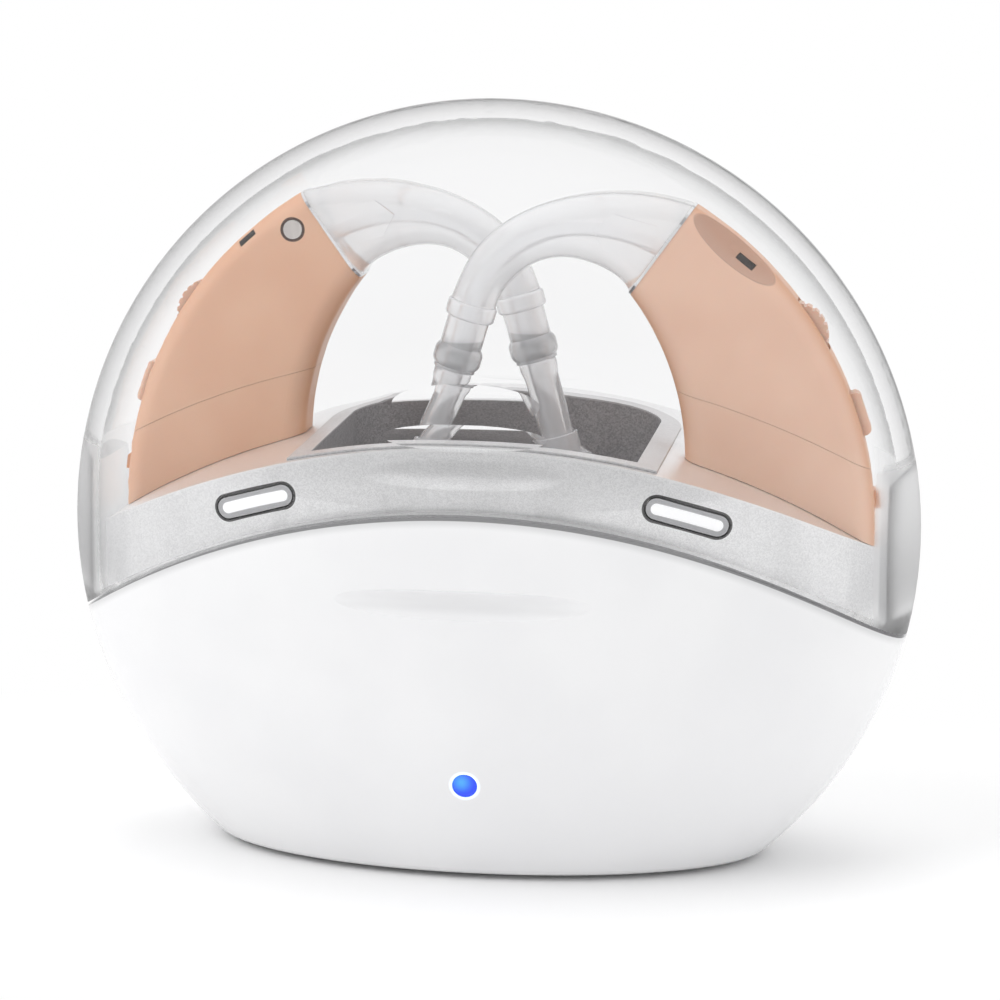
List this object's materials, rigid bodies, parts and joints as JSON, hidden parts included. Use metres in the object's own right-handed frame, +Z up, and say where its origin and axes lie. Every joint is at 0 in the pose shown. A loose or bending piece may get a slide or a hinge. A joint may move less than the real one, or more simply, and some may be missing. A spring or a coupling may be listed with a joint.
{
  "type": "hearing aid charging case",
  "caption": "Egg-shaped hearing aid charging case: white base with status light, arched silver deck with ear-mould bowl, clear lift-off dome lid, and beige behind-the-ear aids with clear hooks.",
  "frame": {"origin": "on the table under the middle of the foot pad", "axes": "+Z up, -Y the front with the status light, +X to the right seen from the front"},
  "size_m": [0.088, 0.046, 0.078],
  "materials": {
    "white_gloss": "gloss",
    "silver_satin": "satin metallic paint",
    "dark_satin": "fine grained satin",
    "clear_dome": "clear, polished",
    "clear_window": "clear, polished",
    "beige": "satin",
    "clear_hook": "clear, polished",
    "clear_tube": "clear, flexible",
    "blue_light": "lit blue",
    "lamp": "matt lens",
    "rubber_foot": "matt",
    "white_matte": "matt",
    "screw_steel": "plated",
    "inlet_metal": "plated",
    "contact_gold": "plated",
    "board_green": "lacquered",
    "cell_wrap": "wrapped",
    "disc_grey": "gloss",
    "dark_insert": "matt"
  },
  "bodies": {
    "case": {"base_shell": "white_gloss", "battery_cell": "cell_wrap", "bottom_cover": "white_matte", "circuit_board": "board_green", "cover_screws": "screw_steel", "deck": "silver_satin", "ear_mould_tray": "dark_satin", "foot_pad": "rubber_foot", "left_aid_shell": "beige", "left_aid_socket": "dark_satin", "left_battery_door": "beige", "left_charging_contacts": "contact_gold", "left_ear_tip": "clear_tube", "left_hook": "clear_hook", "left_indicator_lamp": "lamp", "left_indicator_window": "clear_window", "left_microphone_inserts": "dark_insert", "left_side_disc": "disc_grey", "left_sound_tube": "clear_tube", "power_inlet": "inlet_metal", "right_aid_shell": "beige", "right_aid_socket": "dark_satin", "right_battery_door": "beige", "right_charging_contacts": "contact_gold", "right_ear_tip": "clear_tube", "right_hook": "clear_hook", "right_indicator_lamp": "lamp", "right_indicator_window": "clear_window", "right_microphone_inserts": "dark_insert", "right_side_disc": "disc_grey", "right_sound_tube": "clear_tube", "status_lamp": "lamp", "status_light": "blue_light"},
    "lid": {"lid": "clear_dome"},
    "left_volume_wheel": {"left_volume_wheel": "beige"},
    "left_program_button": {"left_program_button": "beige"},
    "right_volume_wheel": {"right_volume_wheel": "beige"},
    "right_program_button": {"right_program_button": "beige"}
  },
  "joints": [
    {"name": "lid_lift", "type": "slide", "parent": "case", "child": "lid", "axis": [0, 0, 1], "range_m": [0, 0.06]},
    {"name": "left_volume_turn", "type": "hinge", "parent": "case", "child": "left_volume_wheel", "pos_m": [-0.03031, 0.0036, 0.0548], "axis": [0, 1, 0], "range_deg": [-135, 135]},
    {"name": "left_program_press", "type": "slide", "parent": "case", "child": "left_program_button", "axis": [0.9455, 0, -0.3256], "range_m": [0, 0.0005], "stiffness_N_per_m": 400},
    {"name": "right_volume_turn", "type": "hinge", "parent": "case", "child": "right_volume_wheel", "pos_m": [0.03031, -0.0036, 0.0548], "axis": [0, 1, 0], "range_deg": [-135, 135]},
    {"name": "right_program_press", "type": "slide", "parent": "case", "child": "right_program_button", "axis": [-0.9455, 0, -0.3256], "range_m": [0, 0.0005], "stiffness_N_per_m": 400}
  ]
}
